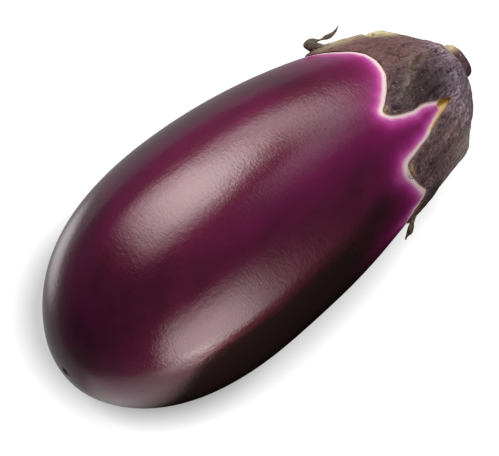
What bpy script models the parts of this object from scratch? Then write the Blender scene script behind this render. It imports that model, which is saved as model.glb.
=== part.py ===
"""An eggplant as picked, in metres: the fruit, the calyx that caps its stem end, and the short cut stem.

The fruit lies on its side. Its long axis runs along +X, from the blossom end to the stem, and +Z is up.
The origin is the centre of the small flat spot that the fruit rests on.
"""
import bisect
import math

import bmesh
import bpy
from mathutils import Matrix, Vector

MM = 0.001

# The fruit's outline in its own frame, from the stem end round to the blossom end: (along the axis, radius), mm.
FRUIT_PROFILE = [
    (97.0, 0.0),
    (95.5, 10.5),
    (89.5, 21.0),
    (79.0, 28.0),
    (63.0, 34.0),
    (44.0, 39.0),
    (20.0, 43.2),
    (-6.0, 45.4),
    (-32.0, 45.2),
    (-55.0, 40.8),
    (-73.0, 32.0),
    (-85.0, 20.4),
    (-91.0, 9.0),
    (-92.2, 0.0),
]
FRUIT_BOW = 3.4 * MM            # sideways bow of the middle against the two ends, towards +Y
FRUIT_TILT = math.radians(2.8)  # the lighter stem end settles this far down
REST_DEPTH = 0.6 * MM           # how deep the flat spot cuts into the round underside
FRUIT_SEGMENTS = 64
FRUIT_RINGS = 42

# The calyx's free edge: (degrees round the axis from the top towards -Y, reach over the skin from the stem, mm).
CALYX_EDGE = [
    (-122, 67),
    (-106, 57),
    (-90, 52),
    (-72, 55),
    (-57, 60),
    (-46, 58),
    (-36, 53),
    (-25, 49),
    (-12, 48),
    (0, 51),
    (10, 56),
    (21, 64),
    (27, 59),
    (31, 47),
    (41, 31),
    (46, 43),
    (50, 53),
    (54, 66),
    (64, 67),
    (74, 64),
    (85, 60),
    (91, 66),
    (100, 73),
    (113, 60),
    (132, 52),
    (150, 60),
    (165, 70),
    (181, 60),
    (202, 52),
    (222, 60),
]
CALYX_HOLE = 8.6 * MM           # reach of the calyx's inner edge, just clear of the stem
CALYX_COLLAR = 5.5 * MM         # thickness where it swells into a collar round the stem
CALYX_BODY = 2.3 * MM           # thickness over the shoulder of the fruit
CALYX_RIM = 1.0 * MM            # thickness at the free edge
COLLAR_WIDTH = 7.0 * MM         # reach over which the collar fades into the body
CALYX_COLUMNS = 108
CALYX_ROWS = 11
SKIN_GAP = 0.35 * MM            # clearance between pieces that touch

# The dried sepal tips, as (degrees round, reach in mm, lift off the skin in mm, radius in mm).
CURLED_TIP = [
    (-56, 52, 2.0, 1.5),
    (-59, 55, 2.7, 2.2),
    (-60, 57.5, 3.2, 2.4),
    (-61, 56, 4.6, 1.8),
    (-61, 52, 4.5, 1.0),
    (-61, 47, 4.9, 0.9),
    (-61, 43, 7.4, 0.5),
]
HANGING_TIP = [
    (95, 62, 1.6, 1.2),
    (98, 66.5, 1.7, 1.2),
    (100, 70, 1.9, 1.2),
    (100, 73, 2.7, 1.0),
    (100, 76, 3.4, 0.7),
]
TIP_SIDES = 10

STEM_RADIUS = 8.0 * MM
STEM_LENGTH = 11.5 * MM
STEM_ROUNDING = 2.0 * MM
STEM_RIBS = 5                   # one soft rib runs down to each main sepal
STEM_RIB_HEIGHT = 0.45 * MM
STEM_SEGMENTS = 30


def smooth_curve(points, steps):
    """Points on a smooth curve through the given points, with the given number of steps to each span."""
    first = [2 * a - b for a, b in zip(points[0], points[1])]
    last = [2 * a - b for a, b in zip(points[-1], points[-2])]
    padded = [first] + [list(point) for point in points] + [last]
    curve = []
    for i in range(1, len(padded) - 2):
        before, start, end, after = padded[i - 1:i + 3]
        for step in range(steps):
            t = step / steps
            curve.append([
                0.5 * (2 * b + (c - a) * t + (2 * a - 5 * b + 4 * c - d) * t ** 2 + (3 * b - a - 3 * c + d) * t ** 3)
                for a, b, c, d in zip(before, start, end, after)
            ])
    curve.append(list(points[-1]))
    return curve


def arc_table(profile):
    """The distance along the profile from its first point to each of its points."""
    distances = [0.0]
    for (x0, r0), (x1, r1) in zip(profile, profile[1:]):
        distances.append(distances[-1] + math.hypot(x1 - x0, r1 - r0))
    return distances


PROFILE = [(x * MM, max(r, 0.0) * MM) for x, r in smooth_curve(FRUIT_PROFILE, 24)]
REACHES = arc_table(PROFILE)
FULL_REACH = REACHES[-1]
HALF_LENGTH = (PROFILE[0][0] - PROFILE[-1][0]) / 2


def profile_at(reach):
    """Place, radius and outward slope of the profile at a reach over the skin from the stem's centre."""
    i = min(max(bisect.bisect_right(REACHES, reach), 1), len(REACHES) - 1)
    span = REACHES[i] - REACHES[i - 1]
    share = (reach - REACHES[i - 1]) / span
    (x0, r0), (x1, r1) = PROFILE[i - 1], PROFILE[i]
    return x0 + (x1 - x0) * share, r0 + (r1 - r0) * share, (r1 - r0) / span, -(x1 - x0) / span


def skin_point(reach, around, lift=0.0):
    """A point on the fruit's own skin, or lifted off it. around is in degrees from the top towards -Y."""
    x, radius, normal_x, normal_r = profile_at(reach)
    radius += lift * normal_r
    x += lift * normal_x
    bow = FRUIT_BOW * (1 - (x / HALF_LENGTH) ** 2)
    angle = math.radians(around)
    return Vector((x, bow - radius * math.sin(angle), radius * math.cos(angle)))


def resting_place():
    """The move from the fruit's own frame to the part's: tilt it, then bring its flat spot to the origin."""
    tilt = Matrix.Rotation(FRUIT_TILT, 4, "Y")
    samples = [skin_point(FULL_REACH * i / 400, around) for i in range(401) for around in range(160, 201)]
    lowest = min((tilt @ sample for sample in samples), key=lambda point: point.z)
    return Matrix.Translation((-lowest.x, -lowest.y, -lowest.z - REST_DEPTH)) @ tilt


def calyx_reach(around):
    """How far the calyx's free edge reaches over the skin at an angle round the axis."""
    turn = (around + 122) % 360 - 122
    stops = CALYX_EDGE + [(CALYX_EDGE[0][0] + 360, CALYX_EDGE[0][1])]
    i = max(k for k in range(len(stops) - 1) if stops[k][0] <= turn)
    share = (turn - stops[i][0]) / (stops[i + 1][0] - stops[i][0])
    share = share * share * (3 - 2 * share)
    return (stops[i][1] + (stops[i + 1][1] - stops[i][1]) * share) * MM


def calyx_thickness(reach, share):
    """Thickness at a reach over the skin, where share runs from 0 at the stem to 1 at the free edge."""
    collar = math.exp(-((reach - CALYX_HOLE) / COLLAR_WIDTH) ** 2)
    return CALYX_BODY + (CALYX_COLLAR - CALYX_BODY) * collar + (CALYX_RIM - CALYX_BODY) * share ** 3


def add_material(obj, colour, roughness):
    material = bpy.data.materials.new(obj.name)
    material.use_nodes = True
    shader = material.node_tree.nodes["Principled BSDF"]
    shader.inputs["Base Color"].default_value = (*colour, 1.0)
    shader.inputs["Roughness"].default_value = roughness
    shader.inputs["Metallic"].default_value = 0.0
    obj.data.materials.append(material)


def finish_mesh(bm, name, collection, smooth_angle=60):
    """Turn a bmesh into a smooth-shaded object in a collection."""
    bmesh.ops.recalc_face_normals(bm, faces=bm.faces)
    mesh = bpy.data.meshes.new(name)
    bm.to_mesh(mesh)
    bm.free()
    mesh.shade_smooth()
    mesh.set_sharp_from_angle(angle=math.radians(smooth_angle))
    obj = bpy.data.objects.new(name, mesh)
    collection.objects.link(obj)
    return obj


def make_fruit(collection, place):
    """A sphere whose rings are spread along the fruit's profile, cut flat where it rests."""
    bm = bmesh.new()
    bmesh.ops.create_uvsphere(bm, u_segments=FRUIT_SEGMENTS, v_segments=FRUIT_RINGS, radius=1.0)
    for vert in bm.verts:
        polar = math.acos(max(-1.0, min(1.0, vert.co.z)))
        around = math.degrees(math.atan2(-vert.co.y, vert.co.x))
        vert.co = place @ skin_point(FULL_REACH * polar / math.pi, around)
    geometry = bm.verts[:] + bm.edges[:] + bm.faces[:]
    cut = bmesh.ops.bisect_plane(bm, geom=geometry, plane_co=(0, 0, 0), plane_no=(0, 0, -1), clear_outer=True)
    rim = [item for item in cut["geom_cut"] if isinstance(item, bmesh.types.BMEdge)]
    bmesh.ops.edgeloop_fill(bm, edges=rim)
    fruit = finish_mesh(bm, "fruit", collection, smooth_angle=30)
    add_material(fruit, (0.045, 0.008, 0.022), 0.18)
    return fruit


def make_calyx(collection, cutters, place):
    """A lobed sheet wrapped over the fruit's stem end, thickened outwards, with two dried tips joined on."""
    bm = bmesh.new()
    bmesh.ops.create_grid(bm, x_segments=CALYX_COLUMNS, y_segments=CALYX_ROWS, size=0.5)
    weights = bm.verts.layers.deform.verify()
    for vert in bm.verts:
        around = 360 * (vert.co.x + 0.5)
        share = vert.co.y + 0.5
        reach = CALYX_HOLE + (calyx_reach(around) - CALYX_HOLE) * share
        vert[weights][0] = calyx_thickness(reach, share) / CALYX_COLLAR
        vert.co = place @ skin_point(reach, around, SKIN_GAP)
    bmesh.ops.remove_doubles(bm, verts=bm.verts, dist=0.01 * MM)
    calyx = finish_mesh(bm, "calyx", collection)
    calyx.vertex_groups.new(name="thickness")
    solidify = calyx.modifiers.new("Thickness", "SOLIDIFY")
    solidify.thickness = CALYX_COLLAR
    solidify.offset = 1.0
    solidify.vertex_group = "thickness"
    for name, route in (("curled_tip", CURLED_TIP), ("hanging_tip", HANGING_TIP)):
        union = calyx.modifiers.new(name, "BOOLEAN")
        union.operation = "UNION"
        union.object = make_tip(name, route, cutters, place)
    add_material(calyx, (0.085, 0.055, 0.05), 0.7)
    return calyx


def make_tip(name, route, cutters, place):
    """A tapered, round-sided tip along a route over the skin, as a mesh ready to be joined on."""
    curve = bpy.data.curves.new(name, "CURVE")
    curve.dimensions = "3D"
    curve.bevel_mode = "ROUND"
    curve.bevel_depth = MM
    curve.bevel_resolution = (TIP_SIDES - 4) // 2
    curve.use_fill_caps = True
    points = smooth_curve(route, 3)
    spline = curve.splines.new("POLY")
    spline.points.add(len(points) - 1)
    for spot, (around, reach, lift, radius) in zip(spline.points, points):
        spot.co = (*(place @ skin_point(reach * MM, around, lift * MM)), 1.0)
        spot.radius = radius
    guide = bpy.data.objects.new(name + "_guide", curve)
    cutters.objects.link(guide)
    evaluated = guide.evaluated_get(bpy.context.evaluated_depsgraph_get())
    mesh = bpy.data.meshes.new_from_object(evaluated)
    bm = bmesh.new()
    bm.from_mesh(mesh)
    bmesh.ops.remove_doubles(bm, verts=bm.verts, dist=0.01 * MM)
    bmesh.ops.recalc_face_normals(bm, faces=bm.faces)
    bm.to_mesh(mesh)
    bm.free()
    tip = bpy.data.objects.new(name, mesh)
    cutters.objects.link(tip)
    tip.matrix_world = guide.matrix_world.copy()
    bpy.data.objects.remove(guide)
    tip.hide_render = True
    tip.display_type = "WIRE"
    return tip


def make_stem(collection, place):
    """A short ribbed stub standing on the fruit's stem end, with a square-cut, lightly rounded end."""
    bm = bmesh.new()
    bmesh.ops.create_cone(
        bm, cap_ends=True, segments=STEM_SEGMENTS, radius1=STEM_RADIUS, radius2=STEM_RADIUS, depth=STEM_LENGTH)
    for vert in bm.verts:
        angle = math.atan2(vert.co.y, vert.co.x)
        stretch = 1 + STEM_RIB_HEIGHT / STEM_RADIUS * (math.cos(STEM_RIBS * angle) - 1)
        vert.co.x *= stretch
        vert.co.y *= stretch
    end_rim = [edge for edge in bm.edges if all(vert.co.z > 0 for vert in edge.verts)]
    bmesh.ops.bevel(bm, geom=end_rim, offset=STEM_ROUNDING, segments=3, profile=0.5, affect="EDGES")
    base = PROFILE[0][0] + SKIN_GAP
    bow = FRUIT_BOW * (1 - (base / HALF_LENGTH) ** 2)
    upright = Matrix.Translation((base + STEM_LENGTH / 2, bow, 0)) @ Matrix.Rotation(math.radians(90), 4, "Y")
    bmesh.ops.transform(bm, matrix=place @ upright, verts=bm.verts)
    stem = finish_mesh(bm, "stem", collection, smooth_angle=40)
    add_material(stem, (0.12, 0.06, 0.055), 0.65)
    return stem


def main():
    for obj in list(bpy.data.objects):
        bpy.data.objects.remove(obj, do_unlink=True)
    eggplant = bpy.data.collections.new("eggplant")
    cutters = bpy.data.collections.new("cutters")
    bpy.context.scene.collection.children.link(eggplant)
    bpy.context.scene.collection.children.link(cutters)
    place = resting_place()
    make_fruit(eggplant, place)
    make_calyx(eggplant, cutters, place)
    make_stem(eggplant, place)


main()
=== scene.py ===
import math

import bpy
import numpy as np
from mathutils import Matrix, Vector, geometry, kdtree, noise


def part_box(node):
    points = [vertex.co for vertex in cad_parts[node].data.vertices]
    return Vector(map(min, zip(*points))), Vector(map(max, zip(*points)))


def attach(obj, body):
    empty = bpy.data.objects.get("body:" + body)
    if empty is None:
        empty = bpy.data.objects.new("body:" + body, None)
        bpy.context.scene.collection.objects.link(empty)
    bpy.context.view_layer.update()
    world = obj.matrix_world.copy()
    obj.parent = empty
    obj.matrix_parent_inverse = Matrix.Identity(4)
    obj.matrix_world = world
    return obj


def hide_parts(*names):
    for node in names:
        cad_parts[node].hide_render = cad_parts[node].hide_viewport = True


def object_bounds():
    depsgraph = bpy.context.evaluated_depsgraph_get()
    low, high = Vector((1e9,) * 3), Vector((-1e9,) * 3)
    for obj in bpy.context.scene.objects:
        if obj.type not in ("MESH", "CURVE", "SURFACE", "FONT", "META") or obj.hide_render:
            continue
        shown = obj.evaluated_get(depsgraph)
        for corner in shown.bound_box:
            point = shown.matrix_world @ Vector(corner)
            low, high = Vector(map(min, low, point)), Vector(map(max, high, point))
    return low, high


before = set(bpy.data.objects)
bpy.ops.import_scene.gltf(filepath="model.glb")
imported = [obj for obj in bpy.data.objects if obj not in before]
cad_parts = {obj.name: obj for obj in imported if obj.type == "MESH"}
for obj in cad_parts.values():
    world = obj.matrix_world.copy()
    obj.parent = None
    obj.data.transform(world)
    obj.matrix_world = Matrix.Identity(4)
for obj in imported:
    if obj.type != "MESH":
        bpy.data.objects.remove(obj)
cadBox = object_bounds()
mm = 0.001  # shapes below are worked out in millimetres and turned into metres when a mesh is made

# Camera and light come first: everything else is judged through them.
camera = {
    "azimuth": -42.8,
    "elevation": 61.9,
    "distance": 0.7714,
    "lens": 150.0,
    "aim": (-0.0115, -0.0035, -0.0011),  # from the middle of the model's box, metres
}

stage = {
    "floorSize": 8.0,
    "floorColour": (0.07, 0.07, 0.07),
    "floorGlow": 1.03,              # a lit table: only the hollow under the fruit darkens
    "hollow": 0.018,                # how far that darkening reaches, metres
    "hollowDepth": 0.9,
    # a soft shade on the floor by the blossom end, never darker than leastShade
    "shade": {"at": (-0.031, 0.0165), "size": (0.061, 0.057), "glow": 1.2},
    "leastShade": 0.5,
    "backdrop": (1.0, 1.0, 1.0),
    "room": 0.01,                   # the rest of the room is nearly black
    # what the floor sends back to the fruit, by place (metres): far is the +Y side, near the -Y side
    "far": 0.28,
    "farFade": (-0.26, -0.16),
    "farEnd": 0.07,                 # what is left of it past the fade
    "farPatch": {"at": (-0.085, 0.16), "size": (0.075, 0.085), "glow": 1.5},
    "near": 0.9,
    "nearFade": (-0.25, -0.12),
    "nearEnd": 0.05,
    "nearEdge": (-0.100, -0.062),   # beyond this, towards the stem, the near floor is covered in black
    "sides": (-0.03, 0.0),
    "litPatch": {"at": (-0.13, -0.42), "size": (0.10, 0.30), "glow": 4.0},
}

lights = {
    # where: centre in metres (z above the floor); flat panels face down, upright ones face +Y
    # soft: share of the width that fades out at -X and at +X, then of the height at -Y (or below)
    # and at +Y (or above)
    # cutCorner: slant of the cut, and where it starts and ends along X
    "overheadPanel": {
        "where": (0.18, 0.94, 1.0),
        "size": (1.20, 2.0),
        "glow": 8.5,
        "soft": (0.6, 0.15, 0.22, 0.72),
        "cutCorner": (0.6, 0.30, 0.47),
    },
    "ceilingBounce": {
        "where": (1.0, 0.68, 1.0),
        "size": (0.95, 2.65),
        "glow": 3.6,
        "soft": (0.1, 0.35, 0.50, 0.4),
    },
    "sidePanel": {
        "where": (-0.07, -0.36, 0.20),
        "size": (0.50, 0.40),
        "glow": 5.4,
        "soft": (0.28, 0.5, 0.02, 0.72),
    },
}


def cornersMiddle(low, high):
    return (Vector(low) + Vector(high)) / 2


def aimAlong(obj, direction):
    obj.rotation_mode = "QUATERNION"
    obj.rotation_quaternion = direction.to_track_quat("-Z", "Y")


def makeCamera():
    azimuth = math.radians(camera["azimuth"])
    elevation = math.radians(camera["elevation"])
    back = Vector((
        math.sin(azimuth) * math.cos(elevation),
        -math.cos(azimuth) * math.cos(elevation),
        math.sin(elevation),
    ))
    data = bpy.data.cameras.new("camera")
    data.lens = camera["lens"]
    data.sensor_width = 36.0
    data.clip_start = 0.01
    obj = bpy.data.objects.new("camera", data)
    bpy.context.scene.collection.objects.link(obj)
    obj.location = cornersMiddle(*cadBox) + Vector(camera["aim"]) + back * camera["distance"]
    aimAlong(obj, -back)
    bpy.context.scene.camera = obj


def addNode(tree, kind, **settings):
    # settings are node properties; inputs are set afterwards by name or number
    node = tree.nodes.new(kind)
    for key, value in settings.items():
        setattr(node, key, value)
    return node


def setInputs(node, values):
    for key, value in values.items():
        node.inputs[key].default_value = value


def calculate(tree, operation, first, second):
    # first and second are numbers or sockets
    node = addNode(tree, "ShaderNodeMath", operation=operation)
    for socket, value in zip(node.inputs, (first, second)):
        if isinstance(value, (int, float)):
            socket.default_value = value
        else:
            tree.links.new(value, socket)
    return node.outputs[0]


def remap(tree, value, low, high, toLow, toHigh, smooth=False):
    node = addNode(tree, "ShaderNodeMapRange")
    node.interpolation_type = "SMOOTHSTEP" if smooth else "LINEAR"
    setInputs(node, {"From Min": low, "From Max": high, "To Min": toLow, "To Max": toHigh})
    tree.links.new(value, node.inputs["Value"])
    return node.outputs[0]


def softEdge(tree, value, low, high):
    # 0 at both ends of 0..1 and 1 in between, with the given widths of slope
    rise = remap(tree, value, 0.0, low, 0.0, 1.0, smooth=True)
    fall = remap(tree, value, 1.0, 1.0 - high, 0.0, 1.0, smooth=True)
    return calculate(tree, "MULTIPLY", rise, fall)


def makeLights():
    for name, panel in lights.items():
        data = bpy.data.lights.new(name, "AREA")
        data.shape = "RECTANGLE"
        data.size, data.size_y = panel["size"]
        data.energy = panel["glow"] * math.pi * data.size * data.size_y
        data.use_nodes = True
        tree = data.node_tree
        glow = tree.nodes["Emission"]
        spot = addNode(tree, "ShaderNodeNewGeometry")
        split = addNode(tree, "ShaderNodeSeparateXYZ")
        tree.links.new(spot.outputs["Position"], split.inputs[0])
        centre = panel["where"]
        upright = centre[1] < 0
        axes = ("X", "Z") if upright else ("X", "Y")
        middles = (centre[0], centre[2]) if upright else centre[:2]
        fades = []
        for k, (axis, middle, size) in enumerate(zip(axes, middles, panel["size"])):
            share = remap(tree, split.outputs[axis], middle - size / 2, middle + size / 2, 0.0, 1.0)
            fades.append(softEdge(tree, share, panel["soft"][2 * k], panel["soft"][2 * k + 1]))
        strength = calculate(tree, "MULTIPLY", *fades)
        if "cutCorner" in panel:
            # the panel's far corner is cut off along a slanted line
            slant, start, stop = panel["cutCorner"]
            leaning = calculate(tree, "MULTIPLY", split.outputs["Y"], slant)
            across = calculate(tree, "SUBTRACT", split.outputs["X"], leaning)
            kept = remap(tree, across, start, stop, 1.0, 0.0, smooth=True)
            strength = calculate(tree, "MULTIPLY", strength, kept)
        tree.links.new(strength, glow.inputs["Strength"])
        obj = bpy.data.objects.new(name, data)
        bpy.context.scene.collection.objects.link(obj)
        obj.location = centre
        if upright:
            obj.rotation_euler = (math.radians(90), 0, 0)
        obj.visible_camera = False


def makeWorld():
    world = bpy.data.worlds.new("studio")
    bpy.context.scene.world = world
    world.use_nodes = True
    tree = world.node_tree
    tree.nodes.clear()
    path = addNode(tree, "ShaderNodeLightPath")
    room = addNode(tree, "ShaderNodeBackground")
    setInputs(room, {"Color": (1.0, 1.0, 1.0, 1.0), "Strength": stage["room"]})
    backdrop = addNode(tree, "ShaderNodeBackground")
    setInputs(backdrop, {"Color": (*stage["backdrop"], 1.0), "Strength": 1.0})
    mix = addNode(tree, "ShaderNodeMixShader")
    out = addNode(tree, "ShaderNodeOutputWorld")
    link = tree.links.new
    link(path.outputs["Is Camera Ray"], mix.inputs[0])
    link(room.outputs[0], mix.inputs[1])
    link(backdrop.outputs[0], mix.inputs[2])
    link(mix.outputs[0], out.inputs["Surface"])


def glowPatch(tree, x, y, patch):
    # a soft round patch of light at a place on the floor
    parts = []
    for value, centre, size in zip((x, y), patch["at"], patch["size"]):
        offset = calculate(tree, "DIVIDE", calculate(tree, "SUBTRACT", value, centre), size)
        parts.append(calculate(tree, "MULTIPLY", offset, offset))
    return remap(tree, calculate(tree, "ADD", *parts), 0.0, 1.0, patch["glow"], 0.0, smooth=True)


def makeFloor():
    half = stage["floorSize"] / 2
    mesh = bpy.data.meshes.new("floor")
    corners = [(-half, -half, 0), (half, -half, 0), (half, half, 0), (-half, half, 0)]
    mesh.from_pydata(corners, [], [(0, 1, 2, 3)])
    floor = bpy.data.objects.new("floor", mesh)
    bpy.context.scene.collection.objects.link(floor)
    material = bpy.data.materials.new("paleFloor")
    material.use_nodes = True
    tree = material.node_tree
    tree.nodes.clear()
    link = tree.links.new
    plain = addNode(tree, "ShaderNodeBsdfDiffuse")
    setInputs(plain, {"Color": (*stage["floorColour"], 1.0)})
    glow = addNode(tree, "ShaderNodeEmission")
    place = addNode(tree, "ShaderNodeNewGeometry")
    split = addNode(tree, "ShaderNodeSeparateXYZ")
    link(place.outputs["Position"], split.inputs[0])
    x, y = split.outputs["X"], split.outputs["Y"]
    hollow = addNode(tree, "ShaderNodeAmbientOcclusion", samples=16)
    setInputs(hollow, {"Distance": stage["hollow"]})
    clear = calculate(tree, "POWER", hollow.outputs["AO"], stage["hollowDepth"])
    shade = calculate(tree, "SUBTRACT", 1.0, glowPatch(tree, x, y, stage["shade"]))
    clear = calculate(tree, "MULTIPLY", clear, calculate(tree, "MAXIMUM", shade, stage["leastShade"]))
    link(calculate(tree, "MULTIPLY", clear, stage["floorGlow"]), glow.inputs["Strength"])
    seen = addNode(tree, "ShaderNodeAddShader")
    link(plain.outputs[0], seen.inputs[0])
    link(glow.outputs[0], seen.inputs[1])
    # what the fruit gets back from the floor
    isFar = remap(tree, y, *stage["sides"], 0.0, 1.0, smooth=True)
    isNear = calculate(tree, "SUBTRACT", 1.0, isFar)
    far = remap(tree, x, *stage["farFade"], stage["farEnd"], stage["far"], smooth=True)
    far = calculate(tree, "ADD", far, glowPatch(tree, x, y, stage["farPatch"]))
    near = remap(tree, x, *stage["nearFade"], stage["nearEnd"], stage["near"], smooth=True)
    near = calculate(tree, "MULTIPLY", near, remap(tree, x, *stage["nearEdge"], 1.0, 0.0, smooth=True))
    near = calculate(tree, "ADD", near, glowPatch(tree, x, y, stage["litPatch"]))
    far = calculate(tree, "MULTIPLY", isFar, far)
    near = calculate(tree, "MULTIPLY", isNear, near)
    tone = calculate(tree, "ADD", far, near)
    returned = addNode(tree, "ShaderNodeEmission")
    link(tone, returned.inputs["Strength"])
    path = addNode(tree, "ShaderNodeLightPath")
    mix = addNode(tree, "ShaderNodeMixShader")
    out = addNode(tree, "ShaderNodeOutputMaterial")
    link(path.outputs["Is Camera Ray"], mix.inputs[0])
    link(returned.outputs[0], mix.inputs[1])
    link(seen.outputs[0], mix.inputs[2])
    link(mix.outputs[0], out.inputs["Surface"])
    mesh.materials.append(material)


makeCamera()
makeLights()
makeWorld()
makeFloor()
bpy.context.scene.view_settings.view_transform = "Standard"
print("stage: camera,", len(lights), "light panels and a pale floor")


def splineThrough(stops, samples, power=1.0):
    # a curve with smooth bends through the stops; power 0.5 keeps it tight where stops crowd together
    stops = np.array(stops, float)
    steps = np.linalg.norm(np.diff(stops, axis=0), axis=1) ** power
    knots = np.concatenate([[0.0], np.cumsum(steps)])
    count = len(stops)
    system = np.eye(count)
    right = np.zeros_like(stops)
    for i in range(1, count - 1):
        system[i, i - 1:i + 2] = steps[i - 1], 2 * (steps[i - 1] + steps[i]), steps[i]
        right[i] = 6 * ((stops[i + 1] - stops[i]) / steps[i] - (stops[i] - stops[i - 1]) / steps[i - 1])
    bend = np.linalg.solve(system, right)
    at = np.linspace(0, knots[-1], samples)
    i = np.clip(np.searchsorted(knots, at, "right") - 1, 0, count - 2)
    after = ((at - knots[i]) / steps[i])[:, None]
    before = 1 - after
    curve = before * stops[i] + after * stops[i + 1]
    arc = (before ** 3 - before) * bend[i] + (after ** 3 - after) * bend[i + 1]
    return curve + arc * steps[i][:, None] ** 2 / 6


def noiseAt(points, size, seed):
    # smooth noise from -1 to 1 at each point, with features of about the given size
    shift = Vector((seed * 17.3, seed * 5.1, seed * 9.7))
    return np.array([noise.noise(Vector(point) / size + shift) for point in points])


def smoothStep(value, low, high):
    share = np.clip((value - low) / (high - low), 0.0, 1.0)
    return share * share * (3 - 2 * share)


def bump(value, centre, width):
    return np.exp(-((value - centre) / width) ** 2)


def turnBetween(around, centre):
    # degrees from a centre angle, from -180 to 180
    return (around - centre + 180.0) % 360.0 - 180.0


def wrapRound(reach, around, wide, long):
    # noise coordinates on a tube, so that what is drawn with them runs lengthwise and closes round it
    turn = np.radians(around)
    return np.stack([np.cos(turn) * wide, np.sin(turn) * wide, reach / long], -1)


def tubeFaces(rows, columns):
    # four-sided faces between rows of points, each row closed on itself
    faces = []
    for i in range(rows - 1):
        for j in range(columns):
            k = (j + 1) % columns
            faces.append((i * columns + j, i * columns + k, (i + 1) * columns + k, (i + 1) * columns + j))
    return faces


def makePiece(name, points, faces, material, node, attributes):
    mesh = bpy.data.meshes.new(name)
    mesh.from_pydata((np.asarray(points) * mm).tolist(), [], [tuple(map(int, face)) for face in faces])
    for key, values in attributes.items():
        values = np.asarray(values, np.float32)
        kind = "FLOAT_VECTOR" if values.ndim == 2 else "FLOAT"
        layer = mesh.attributes.new(key, kind, "POINT")
        layer.data.foreach_set("vector" if values.ndim == 2 else "value", values.ravel())
    mesh.shade_smooth()
    mesh.materials.append(material)
    piece = bpy.data.objects.new(name, mesh)
    bpy.context.scene.collection.objects.link(piece)
    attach(piece, "root")
    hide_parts(node)
    return piece


# The fruit's skin is one surface: reach is millimetres over the skin from the stem's centre,
# around is degrees from the top towards -Y, lift is millimetres off the skin.
fruit = {
    # place along the fruit's own axis, and radius
    "profile": [
        (97.0, 0.0), (95.5, 10.5), (89.5, 21.0), (79.0, 28.0), (63.0, 34.0), (44.0, 39.0), (20.0, 43.2),
        (-6.0, 45.4), (-32.0, 45.2), (-55.0, 40.8), (-73.0, 32.0), (-85.0, 20.4), (-91.0, 9.0), (-92.2, 0.0),
    ],
    "bow": 3.4,             # sideways bend in the middle
    "tilt": 2.8,            # degrees, the stem end lower
    "restSoftness": 0.25,   # how softly it flattens where it rests
    "lumps": 0.22,          # height of the broad unevenness
    "lumpSize": 34.0,
    "dimples": 0.03,
    "dimpleSize": 7.0,
    "creases": 0.10,        # lengthwise creases beside the calyx
    "underCalyx": 0.25,     # the skin lies this much lower under the calyx, clear of the sheet
    "columns": 320,
    # from, to, spacing: closest where the calyx ends
    "rings": [(0.0, 26.0, 2.6), (26.0, 84.0, 0.6), (84.0, 236.0, 1.7), (236.0, 250.0, 0.7)],
    "scarRadius": 1.2,
}


def tabulateSkin():
    stops = fruit["profile"]
    beforeStem = [(x, -r) for x, r in stops[3:0:-1]]
    pastBlossom = [(x, -r) for x, r in stops[-2:-5:-1]]
    curve = splineThrough(beforeStem + stops + pastBlossom, 12000)
    curve = curve[curve[:, 1] >= 0]
    curve[[0, -1], 1] = 0.0
    steps = np.linalg.norm(np.diff(curve, axis=0), axis=1)
    reach = np.concatenate([[0.0], np.cumsum(steps)])
    along = np.gradient(curve, reach, axis=0)
    return {"reach": reach, "x": curve[:, 0], "r": curve[:, 1], "outX": along[:, 1], "outR": -along[:, 0]}


skin = tabulateSkin()
fullReach = skin["reach"][-1]
halfLength = (skin["x"][0] - skin["x"][-1]) / 2


def ownSkin(reach, around, lift=0.0):
    keys = ("x", "r", "outX", "outR")
    x, r, outX, outR = (np.interp(reach, skin["reach"], skin[key]) for key in keys)
    x = x + lift * outX
    r = r + lift * outR
    turn = np.radians(around)
    y = fruit["bow"] * (1 - (x / halfLength) ** 2) - r * np.sin(turn)
    z = r * np.cos(turn)
    tilt = math.radians(fruit["tilt"])
    tilted = x * math.cos(tilt) + z * math.sin(tilt)
    return np.stack([tilted, y, z * math.cos(tilt) - x * math.sin(tilt)], -1)


def settleSkin():
    # the shift that lays the skin in the CAD fruit's box
    low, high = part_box("fruit")
    reach, around = np.meshgrid(np.linspace(0, fullReach, 300), np.arange(0, 360, 4.0))
    points = ownSkin(reach.ravel(), around.ravel())
    shiftX = (low.x + high.x) / 2 / mm - (points[:, 0].min() + points[:, 0].max()) / 2
    shiftY = (low.y + high.y) / 2 / mm - (points[:, 1].min() + points[:, 1].max()) / 2
    return np.array([shiftX, shiftY, high.z / mm - points[:, 2].max()])


skinShift = settleSkin()


def skinAt(reach, around, lift=0.0):
    reach, around, lift = np.broadcast_arrays(
        np.asarray(reach, float), np.asarray(around, float), np.asarray(lift, float))
    points = ownSkin(reach, around, lift) + skinShift
    flat = points.reshape(-1, 3)
    swell = fruit["lumps"] * noiseAt(flat, fruit["lumpSize"], 1)
    swell += fruit["dimples"] * noiseAt(flat, fruit["dimpleSize"], 2)
    outward = ownSkin(reach, around, lift + 1.0) + skinShift - points
    points = points + outward * swell.reshape(reach.shape)[..., None]
    soft = fruit["restSoftness"]
    points[..., 2] = soft * np.logaddexp(0.0, points[..., 2] / soft)  # flattens softly where it rests
    return points


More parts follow.
